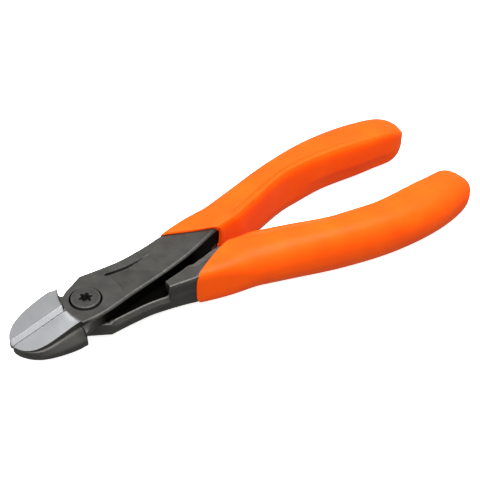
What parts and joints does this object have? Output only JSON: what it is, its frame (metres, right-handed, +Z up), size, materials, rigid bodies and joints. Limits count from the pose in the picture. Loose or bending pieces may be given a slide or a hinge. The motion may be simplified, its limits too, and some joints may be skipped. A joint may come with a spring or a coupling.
{
  "type": "diagonal cutting pliers",
  "caption": "Diagonal cutting pliers with a lap joint, ground cutting jaws, blackened forged levers on a screw pivot and curved orange grip sleeves.",
  "frame": {"origin": "centre of the footprint of the closed tool, on the surface that the grips lie on", "axes": "+X along the tool from the jaws to the handles, +Y towards the handle of the lever with the screw head, +Z up, out of the face with the screw head"},
  "size_m": [0.1806, 0.0634, 0.0189],
  "materials": {
    "forged_steel": "black phosphated forging, satin, with bright ground jaw faces",
    "screw_steel": "black phosphated turned steel, satin",
    "grip_vinyl": "orange moulded vinyl, satin"
  },
  "bodies": {
    "upper_half": {"upper_lever": "forged_steel", "pivot_screw": "screw_steel", "pivot_nut": "screw_steel", "upper_lever_grip": "grip_vinyl"},
    "lower_half": {"lower_lever": "forged_steel", "lower_lever_grip": "grip_vinyl"}
  },
  "joints": [
    {"name": "jaw_pivot", "type": "hinge", "parent": "upper_half", "child": "lower_half", "pos_m": [-0.06225, 0, 0.00946], "axis": [0, 0, -1], "range_deg": [0, 42]}
  ]
}
